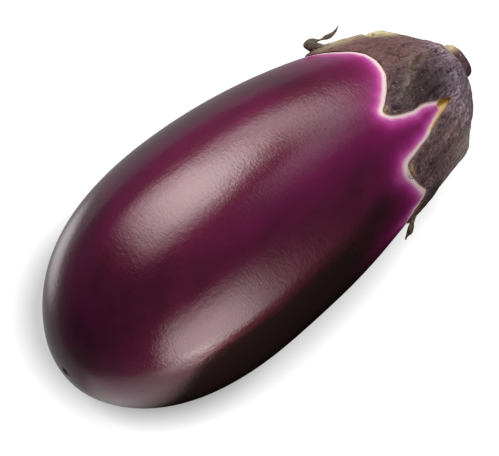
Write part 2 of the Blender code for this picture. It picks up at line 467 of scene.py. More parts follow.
calyx = {
    # (around, reach) along the free edge; lobes reach out to 64 mm and more, bays come back to about 50
    "edge": [
        (-59, 59.6), (-52, 59.8), (-46, 58), (-41, 55.5), (-36, 53.5), (-31, 51), (-25, 49),
        (-19, 48), (-13.5, 48), (-8, 48.5), (-3, 49.5), (2, 51), (7, 53.7), (11.5, 56.5),
        (15, 59.5), (18.5, 62.6), (20.3, 64.3), (22, 64), (24, 62.8), (26, 60.5), (28, 57),
        (29.8, 53), (30.4, 49.5), (30.8, 46), (32.5, 43), (34.8, 39.8), (37, 36.6), (40, 32.3),
        (41.4, 30.8), (42.8, 31.8), (44.6, 35), (45.2, 39), (46, 43.2), (48.5, 49), (50.7, 52.7),
        (51.3, 57), (52.3, 61), (52.9, 64), (53.4, 66.3), (55.2, 67.4), (60.5, 67.4), (66, 66.3),
        (72, 64.6), (78, 62.2), (83.5, 60.5), (88, 60.8), (90.6, 63.4), (92, 67), (95, 70.4),
        (98.5, 71.6), (102, 69), (107, 64), (114, 58.5), (122, 55), (130, 53), (139, 54.5),
        (147, 58.8), (155, 65), (162, 70.5), (167, 70), (173, 64.6), (181, 58.6), (190, 54),
        (201, 51), (212, 52.6), (221, 57.5), (229, 64), (236, 68.6), (242, 66.5), (249, 60.5),
        (257, 55), (266, 52), (275, 51.8), (284, 54.4), (291, 57.4), (296.5, 59),
    ],
    "ragged": 0.22,         # height of the small irregularities along the edge
    "raggedSize": 1.8,
    "spacing": 0.66,        # between mesh points
    "innerReach": 7.0,      # hidden inside the stem
    "innerSides": 90,
    # reach, thickness
    "thickness": [
        (7, 8.2), (10, 7.4), (13, 6.4), (17, 4.9), (20, 3.6), (24, 2.9), (30, 2.8), (38, 2.4),
        (46, 1.9), (54, 1.4), (62, 1.05), (75, 0.9),
    ],
    "rimHeight": 0.75,
    "rimWidth": 0.8,
    "thinning": 6.5,        # distance from the edge over which the sheet reaches its full thickness
    "gap": 0.06,            # under the sheet
    "turnUp": 0.28,         # its underside turns up this much at the edge,
    "turnUpWidth": 1.1,     # within this distance of it
    "least": 0.03,          # least thickness
    "edgeRows": (0.16, 0.40, 0.78),   # rows of mesh points this far inside the edge
}


def flatten(reach, around):
    # the calyx opened out flat, as a star round the stem
    turn = np.radians(around)
    return np.stack([reach * np.cos(turn), reach * np.sin(turn)], -1)


def makeEdge():
    stops = flatten(*np.array([(reach, around) for around, reach in calyx["edge"]], float).T)
    lead = 5
    wrapped = np.vstack([stops[-lead:], stops, stops[:lead + 1]])
    curve = splineThrough(wrapped, 9000, 0.5)
    start = np.linalg.norm(curve - stops[0], axis=1)[:1500].argmin()
    stop = 7500 + np.linalg.norm(curve - stops[0], axis=1)[7500:].argmin()
    curve = curve[start:stop]
    steps = np.concatenate([[0.0], np.cumsum(np.linalg.norm(np.diff(curve, axis=0), axis=1))])
    count = int(steps[-1] / (calyx["spacing"] * 0.7))
    even = np.linspace(0, steps[-1], count, endpoint=False)
    curve = np.stack([np.interp(even, steps, curve[:, k]) for k in (0, 1)], -1)
    along = np.roll(curve, -1, 0) - np.roll(curve, 1, 0)
    outward = np.stack([along[:, 1], -along[:, 0]], -1) / np.linalg.norm(along, axis=1)[:, None]
    flat = np.hstack([curve, np.zeros((count, 1))])
    jag = noiseAt(flat, calyx["raggedSize"], 3) + 0.4 * noiseAt(flat, 0.7, 4)
    return curve + outward * calyx["ragged"] * jag[:, None]


edge = makeEdge()
edgeReach = np.linalg.norm(edge, axis=1)
edgeAround = np.degrees(np.arctan2(edge[:, 1], edge[:, 0]))
edgeOnSkin = skinAt(edgeReach, edgeAround)


def treeOf(points):
    tree = kdtree.KDTree(len(points))
    for i, point in enumerate(points):
        tree.insert(point, i)
    tree.balance()
    return tree


edgeTree = treeOf(edgeOnSkin)


def insideEdge(flatPoints):
    inside = np.zeros(len(flatPoints), bool)
    x, y = flatPoints[:, 0], flatPoints[:, 1]
    for (x0, y0), (x1, y1) in zip(edge, np.roll(edge, -1, 0)):
        if y0 == y1:
            continue
        crosses = (y0 > y) != (y1 > y)
        inside ^= crosses & (x < (x1 - x0) * (y - y0) / (y1 - y0) + x0)
    return inside


def distanceTo(tree, points):
    return np.array([tree.find(point)[2] for point in points])


print("calyx edge:", len(edge), "points")


def newGroup(name, inputs, outputs):
    group = bpy.data.node_groups.new(name, "ShaderNodeTree")
    for label, kind, value in inputs:
        socket = group.interface.new_socket(label, in_out="INPUT", socket_type=kind)
        if value is not None:
            socket.default_value = value
    for label, kind in outputs:
        group.interface.new_socket(label, in_out="OUTPUT", socket_type=kind)
    return group, group.nodes.new("NodeGroupInput"), group.nodes.new("NodeGroupOutput")


def makeMottle():
    # cloudy patches: a soft mask from noise, with its edges sharpened by Contrast
    group, given, out = newGroup(
        "mottle",
        [
            ("Vector", "NodeSocketVector", None),
            ("Scale", "NodeSocketFloat", 100.0),
            ("Detail", "NodeSocketFloat", 4.0),
            ("Distortion", "NodeSocketFloat", 0.3),
            ("Threshold", "NodeSocketFloat", 0.5),
            ("Softness", "NodeSocketFloat", 0.15),
        ],
        [("Mask", "NodeSocketFloat"), ("Height", "NodeSocketFloat")],
    )
    link = group.links.new
    cloud = addNode(group, "ShaderNodeTexNoise")
    cloud.inputs["Roughness"].default_value = 0.6
    for socket in ("Vector", "Scale", "Detail", "Distortion"):
        link(given.outputs[socket], cloud.inputs[socket])
    low = addNode(group, "ShaderNodeMath", operation="SUBTRACT")
    high = addNode(group, "ShaderNodeMath", operation="ADD")
    for end in (low, high):
        link(given.outputs["Threshold"], end.inputs[0])
        link(given.outputs["Softness"], end.inputs[1])
    mask = addNode(group, "ShaderNodeMapRange", interpolation_type="SMOOTHSTEP")
    link(cloud.outputs["Fac"], mask.inputs["Value"])
    link(low.outputs[0], mask.inputs["From Min"])
    link(high.outputs[0], mask.inputs["From Max"])
    link(mask.outputs[0], out.inputs["Mask"])
    link(cloud.outputs["Fac"], out.inputs["Height"])
    return group


def makeSpecks():
    # small scattered dots of uneven size
    group, given, out = newGroup(
        "specks",
        [
            ("Vector", "NodeSocketVector", None),
            ("Scale", "NodeSocketFloat", 500.0),
            ("Size", "NodeSocketFloat", 0.25),
            ("Share", "NodeSocketFloat", 0.3),
        ],
        [("Mask", "NodeSocketFloat")],
    )
    link = group.links.new
    cells = addNode(group, "ShaderNodeTexVoronoi", feature="F1")
    cells.inputs["Randomness"].default_value = 1.0
    link(given.outputs["Vector"], cells.inputs["Vector"])
    link(given.outputs["Scale"], cells.inputs["Scale"])
    dot = addNode(group, "ShaderNodeMapRange", interpolation_type="SMOOTHSTEP")
    setInputs(dot, {"From Min": 0.0, "To Min": 1.0, "To Max": 0.0})
    link(cells.outputs["Distance"], dot.inputs["Value"])
    link(given.outputs["Size"], dot.inputs["From Max"])
    pick = addNode(group, "ShaderNodeSeparateColor")
    link(cells.outputs["Color"], pick.inputs[0])
    chosen = addNode(group, "ShaderNodeMath", operation="LESS_THAN")
    link(pick.outputs[0], chosen.inputs[0])
    link(given.outputs["Share"], chosen.inputs[1])
    both = addNode(group, "ShaderNodeMath", operation="MULTIPLY")
    link(dot.outputs[0], both.inputs[0])
    link(chosen.outputs[0], both.inputs[1])
    link(both.outputs[0], out.inputs["Mask"])
    return group


mottle = makeMottle()
specks = makeSpecks()


def placeGroup(tree, group, source=None, **values):
    node = tree.nodes.new("ShaderNodeGroup")
    node.node_tree = group
    for key, value in values.items():
        node.inputs[key].default_value = value
    if source is not None:
        tree.links.new(source, node.inputs["Vector"])
    return node


def mixColour(tree, mask, first, second, blend="MIX"):
    # first and second are colours or sockets, mask is a socket or a number
    node = addNode(tree, "ShaderNodeMix", data_type="RGBA", blend_type=blend)
    for socket, value in ((node.inputs[6], first), (node.inputs[7], second)):
        if isinstance(value, tuple):
            socket.default_value = (*value, 1.0)
        else:
            tree.links.new(value, socket)
    if isinstance(mask, float):
        node.inputs[0].default_value = mask
    else:
        tree.links.new(mask, node.inputs[0])
    return node.outputs[2]


def readAttribute(tree, name):
    return addNode(tree, "ShaderNodeAttribute", attribute_name=name)


def newMaterial(name):
    material = bpy.data.materials.new(name)
    material.use_nodes = True
    tree = material.node_tree
    return material, tree, tree.nodes["Principled BSDF"]


def addBump(tree, shader, heights, distance, coated=False):
    # heights is a list of (socket, strength); their sum feeds one Bump node, which may also shape the coat
    total = None
    for socket, strength in heights:
        part = calculate(tree, "MULTIPLY", socket, strength)
        total = part if total is None else calculate(tree, "ADD", total, part)
    node = addNode(tree, "ShaderNodeBump")
    setInputs(node, {"Strength": 1.0, "Distance": distance})
    tree.links.new(total, node.inputs["Height"])
    tree.links.new(node.outputs[0], shader.inputs["Normal"])
    if coated:
        tree.links.new(node.outputs[0], shader.inputs["Coat Normal"])


skinLook = {
    # distance from the calyx's edge in millimetres, and the skin's colour there
    "fade": [
        (0.0, (0.84, 0.68, 0.62)),
        (0.9, (0.90, 0.70, 0.72)),
        (1.5, (0.76, 0.38, 0.56)),
        (2.3, (0.52, 0.10, 0.35)),
        (4.0, (0.33, 0.030, 0.195)),
        (6.0, (0.19, 0.016, 0.105)),
        (9.0, (0.125, 0.0090, 0.066)),
        (14.0, (0.088, 0.0080, 0.045)),
        (24.0, (0.046, 0.0068, 0.026)),
        (60.0, (0.030, 0.0062, 0.019)),
    ],
    "fadeSpan": 64.0,
    "flush": (0.110, 0.0075, 0.056),
    # dark is the streaks' colour, and also the painted shade on the near flank
    "dark": (0.012, 0.0072, 0.0060),
    "red": (0.075, 0.008, 0.040),
    "tissue": (0.80, 0.56, 0.24),
    "ochre": (0.30, 0.14, 0.012),
    "scar": (0.13, 0.075, 0.045),
    "sheen": (1.0, 0.02, 0.10),     # the colour the pigment gives to the broad, soft reflection
    "sheenLevel": 0.60,
    "softness": 0.52,               # roughness of that reflection
    "wax": 0.15,                    # roughness of the clear wax over it
}


def makeSkinMaterial():
    material, tree, shader = newMaterial("auberginePeel")
    link = tree.links.new
    place = addNode(tree, "ShaderNodeTexCoord").outputs["Object"]
    away = readAttribute(tree, "edgeDistance").outputs["Fac"]
    wander = addNode(tree, "ShaderNodeTexNoise")
    setInputs(wander, {"Scale": 190.0, "Detail": 2.0})
    link(place, wander.inputs["Vector"])
    drift = remap(tree, wander.outputs["Fac"], 0.3, 0.7, 0.88, 1.12)
    away = calculate(tree, "MULTIPLY", away, drift)
    share = remap(tree, away, 0.0, skinLook["fadeSpan"], 0.0, 1.0)
    # pale by the calyx, then magenta, then almost black
    ramp = addNode(tree, "ShaderNodeValToRGB")
    stops = ramp.color_ramp.elements
    while len(stops) < len(skinLook["fade"]):
        stops.new(1.0)
    for stop, (distance, colour) in zip(stops, skinLook["fade"]):
        stop.position = distance / skinLook["fadeSpan"]
        stop.color = (*colour, 1.0)
    link(share, ramp.inputs["Fac"])
    colour = ramp.outputs["Color"]
    # lengthwise streaks: noise stretched along the fruit
    stretch = addNode(tree, "ShaderNodeMapping")
    setInputs(stretch, {"Scale": (0.12, 1.0, 1.0)})
    link(place, stretch.inputs["Vector"])
    along = stretch.outputs[0]
    streak = placeGroup(tree, mottle, along, Scale=140.0, Detail=5.0, Threshold=0.52, Softness=0.2)
    cloud = placeGroup(tree, mottle, place, Scale=62.0, Detail=4.0, Threshold=0.5, Softness=0.16)
    farAway = remap(tree, away, 6.0, 30.0, 0.0, 1.0, smooth=True)
    redness = calculate(tree, "MULTIPLY", cloud.outputs["Mask"], 0.42)
    colour = mixColour(tree, calculate(tree, "MULTIPLY", redness, farAway), colour, skinLook["red"])
    streakShare = calculate(tree, "MULTIPLY", streak.outputs["Mask"], 0.36)
    colour = mixColour(tree, calculate(tree, "MULTIPLY", streakShare, farAway), colour, skinLook["dark"])
    flush = readAttribute(tree, "flush").outputs["Fac"]
    broken = remap(tree, streak.outputs["Height"], 0.35, 0.65, 1.15, 0.75)
    flush = calculate(tree, "MULTIPLY", flush, broken)
    colour = mixColour(tree, flush, colour, skinLook["flush"])
    # painted shade: the near flank and the skin below the calyx's long bay turn almost black
    shadeSide = readAttribute(tree, "shadeSide").outputs["Fac"]
    colour = mixColour(tree, calculate(tree, "MULTIPLY", shadeSide, 0.95), colour, skinLook["dark"])
    # the torn sepal's tissue and the blossom scar
    tear = readAttribute(tree, "tear").outputs["Fac"]
    ochre = readAttribute(tree, "ochre").outputs["Fac"]
    tissue = mixColour(tree, ochre, skinLook["tissue"], skinLook["ochre"])
    colour = mixColour(tree, tear, colour, tissue)
    scar = readAttribute(tree, "scar").outputs["Fac"]
    colour = mixColour(tree, calculate(tree, "MULTIPLY", scar, 0.3), colour, skinLook["scar"])
    link(colour, shader.inputs["Base Color"])
    # finish: waxy, with fine pores
    fine = placeGroup(tree, mottle, place, Scale=900.0, Detail=2.0)
    pores = placeGroup(tree, specks, place, Scale=420.0, Size=0.35, Share=0.35)
    uneven = remap(tree, cloud.outputs["Height"], 0.3, 0.7, -0.04, 0.04)
    rough = calculate(tree, "ADD", uneven, skinLook["softness"])
    # where the skin is nearly black it is glossier
    rough = calculate(tree, "SUBTRACT", rough, remap(tree, shadeSide, 0.6, 1.0, 0.0, 0.30))
    link(rough, shader.inputs["Roughness"])
    waxOnScar = remap(tree, scar, 0.0, 1.0, 1.0, 0.8)
    wax = calculate(tree, "MULTIPLY", waxOnScar, remap(tree, tear, 0.0, 1.0, 1.0, 0.15))
    link(wax, shader.inputs["Coat Weight"])
    setInputs(shader, {
        "Specular Tint": (*skinLook["sheen"], 1.0),
        "Specular IOR Level": skinLook["sheenLevel"],
        "Coat Roughness": skinLook["wax"],
        "Coat IOR": 1.5,
    })
    fibres = placeGroup(tree, mottle, along, Scale=520.0, Detail=3.0)
    # faint ripples across the fruit, about a millimetre apart
    squeeze = addNode(tree, "ShaderNodeMapping")
    setInputs(squeeze, {"Scale": (1.9, 0.8, 0.8)})
    link(place, squeeze.inputs["Vector"])
    ripples = placeGroup(tree, mottle, squeeze.outputs[0], Scale=560.0, Detail=3.0, Distortion=0.8)
    addBump(tree, shader, [
        (fine.outputs["Height"], 0.014),
        (pores.outputs["Mask"], -0.008),
        (ripples.outputs["Height"], 0.070),
        (fibres.outputs["Height"], 0.020),
        (streak.outputs["Height"], 0.07),
        (cloud.outputs["Height"], 0.12),
    ], mm, coated=True)
    return material


sepalLook = {
    "dark": (0.019, 0.0085, 0.010),
    "body": (0.078, 0.039, 0.046),
    "light": (0.23, 0.150, 0.165),
    "warm": (0.190, 0.082, 0.066),
    # lilac also serves as the painted highlight on the calyx's right side
    "lilac": (0.40, 0.30, 0.37),
    "olive": (0.66, 0.56, 0.33),
    "pink": (0.42, 0.29, 0.31),
    "brown": (0.085, 0.042, 0.026),
    "rim": (0.22, 0.095, 0.055),
    "tan": (0.34, 0.24, 0.14),
    "roughness": 0.6,
    "gloss": 0.22,
}


def makeSepalMaterial():
    material, tree, shader = newMaterial("drySepal")
    link = tree.links.new
    place = addNode(tree, "ShaderNodeTexCoord").outputs["Object"]
    grain = readAttribute(tree, "grain").outputs["Vector"]
    streaks = placeGroup(tree, mottle, grain, Scale=1.0, Detail=5.0, Distortion=0.6, Softness=0.13)
    hair = placeGroup(tree, mottle, grain, Scale=3.2, Distortion=0.4, Threshold=0.56, Softness=0.1)
    blotch = placeGroup(tree, mottle, place, Scale=190.0, Detail=8.0, Distortion=0.5, Threshold=0.48,
                        Softness=0.11)
    crumbs = placeGroup(tree, mottle, place, Scale=800.0, Detail=5.0, Threshold=0.5, Softness=0.1)
    colour = mixColour(tree, blotch.outputs["Mask"], sepalLook["dark"], sepalLook["body"])
    streakShare = calculate(tree, "MULTIPLY", streaks.outputs["Mask"], 0.7)
    colour = mixColour(tree, streakShare, colour, sepalLook["light"])
    crumbShare = calculate(tree, "MULTIPLY", crumbs.outputs["Mask"], 0.6)
    colour = mixColour(tree, crumbShare, colour, sepalLook["dark"])
    hairShare = calculate(tree, "MULTIPLY", hair.outputs["Mask"], 0.55)
    colour = mixColour(tree, hairShare, colour, sepalLook["light"])
    warmth = readAttribute(tree, "warmth").outputs["Fac"]
    brushed = remap(tree, hair.outputs["Height"], 0.35, 0.65, 0.15, 0.8)
    warmShare = calculate(tree, "MULTIPLY", warmth, brushed)
    colour = mixColour(tree, warmShare, colour, sepalLook["warm"])
    # lilac bloom, and a painted highlight along the calyx's right side
    bloomAndHighlight = readAttribute(tree, "bloomAndHighlight").outputs["Fac"]
    scratchy = remap(tree, hair.outputs["Height"], 0.42, 0.58, 0.12, 0.95)
    bloomAndHighlightShare = calculate(tree, "MULTIPLY", bloomAndHighlight, scratchy)
    colour = mixColour(tree, bloomAndHighlightShare, colour, sepalLook["lilac"])
    # painted shade in the calyx's hollows and at two sepal ends
    hollowShade = readAttribute(tree, "hollowShade").outputs["Fac"]
    colour = mixColour(tree, calculate(tree, "MULTIPLY", hollowShade, 0.75), colour, sepalLook["dark"])
    olive = readAttribute(tree, "olive").outputs["Fac"]
    patchy = placeGroup(tree, mottle, place, Scale=330.0, Detail=5.0, Threshold=0.41, Softness=0.14)
    oliveShare = calculate(tree, "MULTIPLY", olive, patchy.outputs["Mask"])
    colour = mixColour(tree, oliveShare, colour, sepalLook["olive"])
    dots = placeGroup(tree, specks, place, Scale=760.0, Size=0.36, Share=0.26)
    dotShare = calculate(tree, "MULTIPLY", dots.outputs["Mask"], 0.7)
    colour = mixColour(tree, dotShare, colour, sepalLook["pink"])
    dry = readAttribute(tree, "dry").outputs["Fac"]
    dryTone = mixColour(tree, crumbs.outputs["Mask"], sepalLook["tan"], sepalLook["brown"])
    colour = mixColour(tree, dry, colour, dryTone)
    away = readAttribute(tree, "edgeDistance").outputs["Fac"]
    rim = remap(tree, away, 0.10, 0.75, 0.8, 0.0, smooth=True)
    rim = calculate(tree, "MULTIPLY", rim, remap(tree, blotch.outputs["Height"], 0.4, 0.6, 0.25, 1.0))
    colour = mixColour(tree, rim, colour, sepalLook["rim"])
    link(colour, shader.inputs["Base Color"])
    uneven = remap(tree, streaks.outputs["Height"], 0.3, 0.7, -0.1, 0.12)
    link(calculate(tree, "ADD", uneven, sepalLook["roughness"]), shader.inputs["Roughness"])
    setInputs(shader, {"Specular IOR Level": sepalLook["gloss"]})
    addBump(tree, shader, [
        (streaks.outputs["Height"], 1.3),
        (hair.outputs["Height"], 0.6),
        (crumbs.outputs["Height"], 0.4),
        (blotch.outputs["Height"], 0.8),
        (dots.outputs["Mask"], 0.15),
    ], mm)
    return material


stalkLook = {
    "flank": (0.098, 0.040, 0.050),
    "flankDark": (0.042, 0.018, 0.021),
    "flankLight": (0.20, 0.115, 0.13),
    "cork": (0.42, 0.30, 0.17),
    "corkPale": (0.60, 0.46, 0.31),
    "pith": (0.36, 0.30, 0.16),
    "roughness": 0.55,
    "gloss": 0.3,
}


def makeStalkMaterial():
    material, tree, shader = newMaterial("woodyStalk")
    link = tree.links.new
    place = addNode(tree, "ShaderNodeTexCoord").outputs["Object"]
    grain = readAttribute(tree, "grain").outputs["Vector"]
    fibres = placeGroup(tree, mottle, grain, Scale=1.0, Detail=5.0, Softness=0.14)
    blotch = placeGroup(tree, mottle, place, Scale=330.0, Detail=5.0, Threshold=0.52, Softness=0.15)
    colour = mixColour(tree, blotch.outputs["Mask"], stalkLook["flankDark"], stalkLook["flank"])
    fibreShare = calculate(tree, "MULTIPLY", fibres.outputs["Mask"], 0.3)
    colour = mixColour(tree, fibreShare, colour, stalkLook["flankLight"])
    dots = placeGroup(tree, specks, place, Scale=620.0, Size=0.3, Share=0.1)
    colour = mixColour(tree, dots.outputs["Mask"], colour, stalkLook["corkPale"])
    cork = readAttribute(tree, "cork").outputs["Fac"]
    crumbs = placeGroup(tree, mottle, place, Scale=700.0, Detail=5.0, Threshold=0.5, Softness=0.2)
    corkTone = mixColour(tree, crumbs.outputs["Mask"], stalkLook["corkPale"], stalkLook["cork"])
    colour = mixColour(tree, cork, colour, corkTone)
    pith = readAttribute(tree, "pith").outputs["Fac"]
    pithTone = mixColour(tree, crumbs.outputs["Mask"], stalkLook["pith"], stalkLook["cork"])
    colour = mixColour(tree, pith, colour, pithTone)
    link(colour, shader.inputs["Base Color"])
    uneven = remap(tree, blotch.outputs["Height"], 0.3, 0.7, -0.08, 0.08)
    rough = calculate(tree, "ADD", uneven, stalkLook["roughness"])
    rough = calculate(tree, "ADD", rough, calculate(tree, "MULTIPLY", cork, 0.3))
    link(rough, shader.inputs["Roughness"])
    setInputs(shader, {"Specular IOR Level": stalkLook["gloss"]})
    addBump(tree, shader, [
        (fibres.outputs["Height"], 0.5),
        (crumbs.outputs["Height"], 0.3),
        (blotch.outputs["Height"], 0.3),
    ], mm)
    return material


skinMaterial = makeSkinMaterial()
sepalMaterial = makeSepalMaterial()
stalkMaterial = makeStalkMaterial()
print("materials: peel, sepal and stalk")


def ringReaches():
    rings = [0.0]
    for start, stop, step in fruit["rings"]:
        stop = min(stop, fullReach - 0.4)
        count = max(1, round((stop - start) / step))
        rings.extend(start + (stop - start) * (i + 1) / count for i in range(count))
    return np.array(rings[1:])


skinZones = {
    # the near flank is painted nearly black, a painted shade: degrees from its middle, and reach in
    # millimetres
    "flankMiddle": 130,
    "flankTop": (-78, -60),
    "flankFoot": (50, 85),
    "flankStart": (62, 96),
    "flankEnd": (175, 193),
    # the painted shade also darkens slowly towards the flank, and below the calyx's long bay
    "dusk": {"depth": 0.42, "top": (-97, -76), "reach": (105, 38)},
    "bayShade": {"depth": 0.75, "around": (62, 11), "reach": (86, 13)},
    # redder bands along the fruit: one above the near flank, one under the far edge
    "upperFlush": {"around": (22, 11), "start": (66, 84), "strong": 0.42, "strongEnd": (104, 130),
                   "weak": 0.3, "weakEnd": (140, 165)},
    "farFlush": {"around": (-24, 12), "start": (84, 100), "strong": 0.42, "fade": 0.6,
                 "fadeAt": (160, 185)},
    # wider pale skin where a sepal has shrunk back: extra, degrees round, how wide, from and to in reach
    "widerPale": [(0.8, 56, 7, 60, 66), (0.9, 86, 7, 0, 1)],
}


# painted shade on the near flank: how far each point of the skin is darkened
def paintedFlankShade(reach, around):
    fromMiddle = turnBetween(around, skinZones["flankMiddle"])
    wrap = wrapRound(reach, around, 3, 14)
    wavy = fromMiddle + 1.8 * noiseAt(wrap, 1.0, 21)
    underneath = 1 - smoothStep(fromMiddle, *skinZones["flankFoot"])
    deep = smoothStep(wavy, *skinZones["flankTop"]) * underneath
    deep *= smoothStep(reach - 0.2 * around, *skinZones["flankStart"])
    slanted = reach - 0.35 * np.clip(around - 66, 0, 60)
    deep *= 1 - smoothStep(slanted + 3 * noiseAt(wrap, 1.0, 22), *skinZones["flankEnd"])
    dusk = skinZones["dusk"]
    soft = dusk["depth"] * smoothStep(fromMiddle, *dusk["top"]) * underneath * bump(reach, *dusk["reach"])
    bay = skinZones["bayShade"]
    centre, wide = bay["around"]
    beside = bay["depth"] * bump(turnBetween(around, centre), 0, wide) * bump(reach, *bay["reach"])
    return np.clip(1 - (1 - deep) * (1 - soft) * (1 - beside), 0, 1)


def flushAt(reach, around):
    band = skinZones["upperFlush"]
    centre, wide = band["around"]
    upper = bump(turnBetween(around, centre), 0, wide) * smoothStep(reach, *band["start"])
    strong = band["strong"] * (1 - smoothStep(reach, *band["strongEnd"]))
    upper *= strong + band["weak"] * (1 - smoothStep(reach, *band["weakEnd"]))
    band = skinZones["farFlush"]
    centre, wide = band["around"]
    far = bump(turnBetween(around, centre), 0, wide) * smoothStep(reach, *band["start"])
    far *= band["strong"] * (1 - band["fade"] * smoothStep(reach, *band["fadeAt"]))
    return np.clip(upper + far, 0, 1)


def makeFruit():
    reaches = ringReaches()
    columns = fruit["columns"]
    arounds = np.arange(columns) * 360.0 / columns
    reach, around = (grid.ravel() for grid in np.meshgrid(reaches, arounds, indexing="ij"))
    reach = np.concatenate([reach, [0.0, fullReach]])
    around = np.concatenate([around, [0.0, 0.0]])
    stemPole, blossomPole = len(reach) - 2, len(reach) - 1
    away = distanceTo(edgeTree, skinAt(reach, around))
    covered = insideEdge(flatten(reach, around))
    away = np.where(covered, -away, away)
    # lengthwise creases beside the calyx
    crease = noiseAt(wrapRound(reach, around, 7, 26), 1.0, 5)
    lift = fruit["creases"] * crease * bump(np.maximum(away, 0), 3.0, 11.0)
    lift -= fruit["underCalyx"] * smoothStep(-away, 0.6, 2.5)
    points = skinAt(reach, around, lift)
    faces = [face[::-1] for face in tubeFaces(len(reaches), columns)]
    last = (len(reaches) - 1) * columns
    for j in range(columns):
        k = (j + 1) % columns
        faces.append((stemPole, j, k))
        faces.append((blossomPole, last + k, last + j))
    wide = np.ones(len(reach))
    for extra, centre, width, start, full in skinZones["widerPale"]:
        wide += extra * bump(turnBetween(around, centre), 0, width) * smoothStep(reach, start, full)
    attributes = {
        "edgeDistance": np.maximum(away, 0) / wide,
        "shadeSide": paintedFlankShade(reach, around),
        "flush": flushAt(reach, around),
        "scar": bump(fullReach - reach, 0.0, fruit["scarRadius"]),
        "tear": tearMask(reach, around),
        "ochre": ochreMask(reach, around),
    }
    return makePiece("fruitSkin", points, faces, skinMaterial, "fruit", attributes)


# the torn bay between two sepals: dried tissue in a wedge, from its point at the stem side
tear = {
    "point": (30.5, 41.5),   # reach, around
    "foot": (38.5, 38.5),    # on the sepal's side
    "runOut": (49.0, 47.8),  # along the far side
    "strip": (1.5, 0.6),     # half width of the dried strip: what it loses along its length, and its least
    "wedge": (1.2, 1.2),     # half width of the wedge at its point, and what it gains along its length
    "ochre": (0.9, 2.0),     # the brown edge fades out between these distances
}


def distanceToLine(points, first, second):
    along = second - first
    share = np.clip(((points - first) @ along) / (along @ along), 0, 1)
    return np.linalg.norm(points - (first + share[:, None] * along), axis=1), share


def tearMask(reach, around):
    points = flatten(reach, around)
    point, foot, runOut = (flatten(*np.array(tear[key])) for key in ("point", "foot", "runOut"))
    toSide, share = distanceToLine(points, point, runOut)
    taper, least = tear["strip"]
    inner = taper * (1 - share) + least
    strip = 1 - smoothStep(toSide, inner, inner + 0.8 * (1 - share) + 0.5)
    toMiddle, share = distanceToLine(points, point, (foot + runOut * 0.3 + point * 0.7) / 2)
    start, growth = tear["wedge"]
    inner = start + growth * share
    wedge = 1 - smoothStep(toMiddle, inner, inner + 0.7 + 0.3 * share)
    return np.maximum(strip, wedge)


def ochreMask(reach, around):
    points = flatten(reach, around)
    point, foot = (flatten(*np.array(tear[key])) for key in ("point", "foot"))
    toSide, share = distanceToLine(points, point, foot)
    return 1 - smoothStep(toSide, *tear["ochre"])


fruitPiece = makeFruit()
print("fruit:", len(fruitPiece.data.polygons), "faces")

folds = {
    # a raised seam where one sepal overlaps the next: (around, reach)
    "seam": [(-1.5, 22), (0.5, 28), (4, 38), (10, 43.5), (17.5, 50), (21, 54)],
    "seamHeight": 0.75,
    "seamWidth": 1.1,
    "seamStep": 0.65,
    "ribs": [-57, 24, 66, 100, 164, 236],   # degrees round, one down each sepal
    "ribHeight": 0.5,
    "ribWidth": 3.2,
    "wrinkles": 0.55,
    "fineWrinkles": 0.32,
    "ridges": 0.8,
    "lumps": 0.5,
    "lumpSize": 6.0,
    "grit": 0.11,
    "gritSize": 1.5,
    # broad swells and hollows: around, reach, degrees wide, millimetres long, height
    "swells": [
        (-50, 29.5, 12, 4.5, 0.9), (-50, 36.2, 14, 0.9, -0.9), (66, 18, 22, 7, -2.5), (92, 33, 20, 8, 0.5),
        (22, 39, 9, 12, -0.8), (100, 45, 18, 8, -0.6), (40, 14, 18, 5, -0.8), (-44, 19, 16, 6, -0.9),
    ],
}


def onPlane(points):
    return np.hstack([points, np.zeros((len(points), 1))])


def calyxCloud():
    # mesh points over the flat star: the edge, rows just inside it, and an even spread within
    spacing = calyx["spacing"]
    along = np.roll(edge, -1, 0) - np.roll(edge, 1, 0)
    inward = -np.stack([along[:, 1], -along[:, 0]], -1) / np.linalg.norm(along, axis=1)[:, None]
    offsets = calyx["edgeRows"]
    limit = 80.0            # more than the longest lobe's reach
    rowHeight = spacing * math.sqrt(3) / 2
    count = int(2 * limit / spacing)
    j, i = np.meshgrid(np.arange(int(2 * limit / rowHeight)), np.arange(count), indexing="ij")
    x = -limit + (i + 0.5 * (j % 2)) * spacing
    y = -limit + j * rowHeight
    jitter = np.random.default_rng(11).uniform(-0.14, 0.14, (x.size, 2)) * spacing
    spread = np.stack([x.ravel(), y.ravel()], -1) + jitter
    spread = spread[np.linalg.norm(spread, axis=1) > calyx["innerReach"] + spacing * 0.6]
    spread = spread[insideEdge(spread)]
    flatEdge = treeOf(onPlane(edge))
    room = distanceTo(flatEdge, onPlane(spread))
    spread = spread[room > offsets[-1] + spacing * 0.45]
    rows = []
    for offset in offsets:
        row = edge + inward * offset
        room = distanceTo(flatEdge, onPlane(row))
        rows.append(row[(room > offset * 0.8) & insideEdge(row)])
    sides = calyx["innerSides"]
    hole = flatten(np.full(sides, calyx["innerReach"]), np.linspace(0, 360, sides, endpoint=False))
    return np.vstack([edge, hole, *rows, spread])


def calyxTriangles(cloud):
    border, sides = len(edge), calyx["innerSides"]
    loops = [(i, (i + 1) % border) for i in range(border)]
    loops += [(border + i, border + (i + 1) % sides) for i in range(sides)]
    found = geometry.delaunay_2d_cdt([Vector(point) for point in cloud], loops, [], 0, 1e-5)
    points = np.array([tuple(point) for point in found[0]])
    triangles = np.array(found[2])
    middles = points[triangles].mean(1)
    keep = insideEdge(middles) & (np.linalg.norm(middles, axis=1) > calyx["innerReach"] * 0.998)
    return points, triangles[keep]


def seamDistance(reach, around):
    # distance from the seam on the flat star, and which side of it each point is on
    seam = splineThrough([(reach, around) for around, reach in folds["seam"]], 120)[::4]
    gaps = flatten(reach, around)[:, None, :] - flatten(seam[:, 0], seam[:, 1])[None]
    near = np.linalg.norm(gaps, axis=2)
    return near.min(1), turnBetween(around, seam[near.argmin(1), 1])


